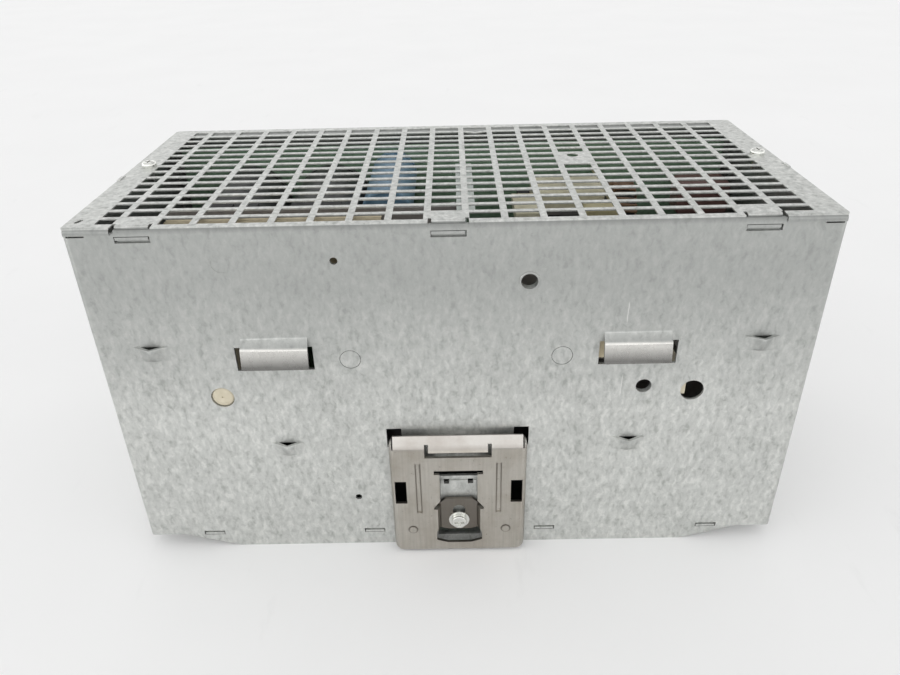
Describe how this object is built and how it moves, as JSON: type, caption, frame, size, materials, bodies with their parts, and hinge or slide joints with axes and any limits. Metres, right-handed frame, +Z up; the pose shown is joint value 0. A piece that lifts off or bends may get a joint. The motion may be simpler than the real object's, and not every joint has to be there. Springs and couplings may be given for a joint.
{
  "type": "din rail power supply",
  "caption": "Wide sheet-steel DIN rail power supply with a perforated top tray, rear rail hooks, a sliding stainless rail latch and recessed front screw terminals.",
  "frame": {"origin": "middle of the whole object's base, on the standing plane", "axes": "+X along the rail, +Y from the rear panel to the front, +Z up"},
  "size_m": [0.2216, 0.107, 0.1258],
  "materials": {
    "galvanised": "zinc-coated sheet, spangled",
    "stainless": "brushed",
    "zinc_screw": "bright zinc plate",
    "film": "matt film",
    "cream_paper": "insulating paper",
    "nylon": "natural nylon",
    "clear_film": "translucent",
    "board_green": "solder resist",
    "blue_sleeve": "shrink sleeve",
    "black_sleeve": "shrink sleeve",
    "ferrite": "ferrite",
    "tape": "winding tape",
    "copper_wire": "enamelled wire",
    "red_brown": "dipped epoxy",
    "yellow_box": "moulded box",
    "aluminium": "extruded",
    "black_epoxy": "moulded epoxy",
    "terminal_grey": "moulded polyamide",
    "cage_metal": "nickel-plated brass",
    "trimmer_blue": "moulded",
    "white_plastic": "moulded",
    "led_green": "tinted lens"
  },
  "bodies": {
    "case": {"rear_housing": "galvanised", "front_cover": "galvanised", "front_overlay": "film", "front_cover_screws": "zinc_screw", "top_grille": "galvanised", "bottom_grille": "galvanised", "top_grille_screws": "zinc_screw", "bottom_grille_screws": "zinc_screw", "clinch_studs": "galvanised", "stud_nuts": "zinc_screw", "backing_plate": "galvanised", "latch_washer": "zinc_screw", "main_board": "board_green", "board_pillars": "zinc_screw", "board_screws": "zinc_screw", "insulating_sheet": "cream_paper", "barrier_strip": "clear_film", "left_post": "nylon", "right_post": "nylon", "blue_capacitor": "blue_sleeve", "bulk_capacitor_1": "black_sleeve", "bulk_capacitor_2": "black_sleeve", "output_capacitor_1": "black_sleeve", "output_capacitor_2": "black_sleeve", "transformer_core": "ferrite", "transformer_winding": "tape", "choke_core": "ferrite", "choke_winding": "copper_wire", "line_filter_core": "ferrite", "line_filter_winding": "copper_wire", "film_capacitor": "red_brown", "x_capacitor": "yellow_box", "primary_heatsink": "aluminium", "secondary_heatsink": "aluminium", "power_transistors": "black_epoxy", "heatsink_screws": "zinc_screw", "control_board": "board_green", "fuse": "white_plastic", "input_terminal_block": "terminal_grey", "output_terminal_block": "terminal_grey", "contact_bars": "cage_metal", "trimmer_body": "trimmer_blue", "status_led": "led_green"},
    "latch": {"latch_plate": "stainless"},
    "clamp_screw": {"latch_screw": "zinc_screw"},
    "trimmer": {"trimmer_rotor": "white_plastic"},
    "terminal_1": {"terminal_screw_1": "zinc_screw"},
    "cage_1": {"clamp_cage_1": "cage_metal"},
    "terminal_2": {"terminal_screw_2": "zinc_screw"},
    "cage_2": {"clamp_cage_2": "cage_metal"},
    "terminal_3": {"terminal_screw_3": "zinc_screw"},
    "cage_3": {"clamp_cage_3": "cage_metal"},
    "terminal_4": {"terminal_screw_4": "zinc_screw"},
    "cage_4": {"clamp_cage_4": "cage_metal"},
    "terminal_5": {"terminal_screw_5": "zinc_screw"},
    "cage_5": {"clamp_cage_5": "cage_metal"},
    "terminal_6": {"terminal_screw_6": "zinc_screw"},
    "cage_6": {"clamp_cage_6": "cage_metal"},
    "terminal_7": {"terminal_screw_7": "zinc_screw"},
    "cage_7": {"clamp_cage_7": "cage_metal"}
  },
  "joints": [
    {"name": "latch_slide", "type": "slide", "parent": "case", "child": "latch", "axis": [0, 0, -1], "range_m": [0, 0.0035]},
    {"name": "clamp_screw_turn", "type": "hinge", "parent": "case", "child": "clamp_screw", "pos_m": [0, -0.04854, 0.0132], "axis": [0, 1, 0], "range_deg": [-720, 0]},
    {"name": "trimmer_turn", "type": "hinge", "parent": "case", "child": "trimmer", "pos_m": [0, 0.04146, 0.022], "axis": [0, -1, 0], "range_deg": [-135, 135]},
    {"name": "terminal_1_turn", "type": "hinge", "parent": "case", "child": "terminal_1", "pos_m": [0.052, 0.05046, 0.023], "axis": [0, -1, 0], "range_deg": [0, 1620]},
    {"name": "cage_1_slide", "type": "slide", "parent": "case", "child": "cage_1", "axis": [0, 1, 0], "range_m": [0, 0.00315]},
    {"name": "terminal_2_turn", "type": "hinge", "parent": "case", "child": "terminal_2", "pos_m": [0.062, 0.05046, 0.023], "axis": [0, -1, 0], "range_deg": [0, 1620]},
    {"name": "cage_2_slide", "type": "slide", "parent": "case", "child": "cage_2", "axis": [0, 1, 0], "range_m": [0, 0.00315]},
    {"name": "terminal_3_turn", "type": "hinge", "parent": "case", "child": "terminal_3", "pos_m": [0.072, 0.05046, 0.023], "axis": [0, -1, 0], "range_deg": [0, 1620]},
    {"name": "cage_3_slide", "type": "slide", "parent": "case", "child": "cage_3", "axis": [0, 1, 0], "range_m": [0, 0.00315]},
    {"name": "terminal_4_turn", "type": "hinge", "parent": "case", "child": "terminal_4", "pos_m": [-0.073, 0.05046, 0.023], "axis": [0, -1, 0], "range_deg": [0, 1620]},
    {"name": "cage_4_slide", "type": "slide", "parent": "case", "child": "cage_4", "axis": [0, 1, 0], "range_m": [0, 0.00315]},
    {"name": "terminal_5_turn", "type": "hinge", "parent": "case", "child": "terminal_5", "pos_m": [-0.063, 0.05046, 0.023], "axis": [0, -1, 0], "range_deg": [0, 1620]},
    {"name": "cage_5_slide", "type": "slide", "parent": "case", "child": "cage_5", "axis": [0, 1, 0], "range_m": [0, 0.00315]},
    {"name": "terminal_6_turn", "type": "hinge", "parent": "case", "child": "terminal_6", "pos_m": [-0.053, 0.05046, 0.023], "axis": [0, -1, 0], "range_deg": [0, 1620]},
    {"name": "cage_6_slide", "type": "slide", "parent": "case", "child": "cage_6", "axis": [0, 1, 0], "range_m": [0, 0.00315]},
    {"name": "terminal_7_turn", "type": "hinge", "parent": "case", "child": "terminal_7", "pos_m": [-0.043, 0.05046, 0.023], "axis": [0, -1, 0], "range_deg": [0, 1620]},
    {"name": "cage_7_slide", "type": "slide", "parent": "case", "child": "cage_7", "axis": [0, 1, 0], "range_m": [0, 0.00315]}
  ],
  "couplings": [
    {"joint": "terminal_1_turn", "follows": "cage_1_slide", "rad_per_m": 8976},
    {"joint": "terminal_2_turn", "follows": "cage_2_slide", "rad_per_m": 8976},
    {"joint": "terminal_3_turn", "follows": "cage_3_slide", "rad_per_m": 8976},
    {"joint": "terminal_4_turn", "follows": "cage_4_slide", "rad_per_m": 8976},
    {"joint": "terminal_5_turn", "follows": "cage_5_slide", "rad_per_m": 8976},
    {"joint": "terminal_6_turn", "follows": "cage_6_slide", "rad_per_m": 8976},
    {"joint": "terminal_7_turn", "follows": "cage_7_slide", "rad_per_m": 8976}
  ]
}
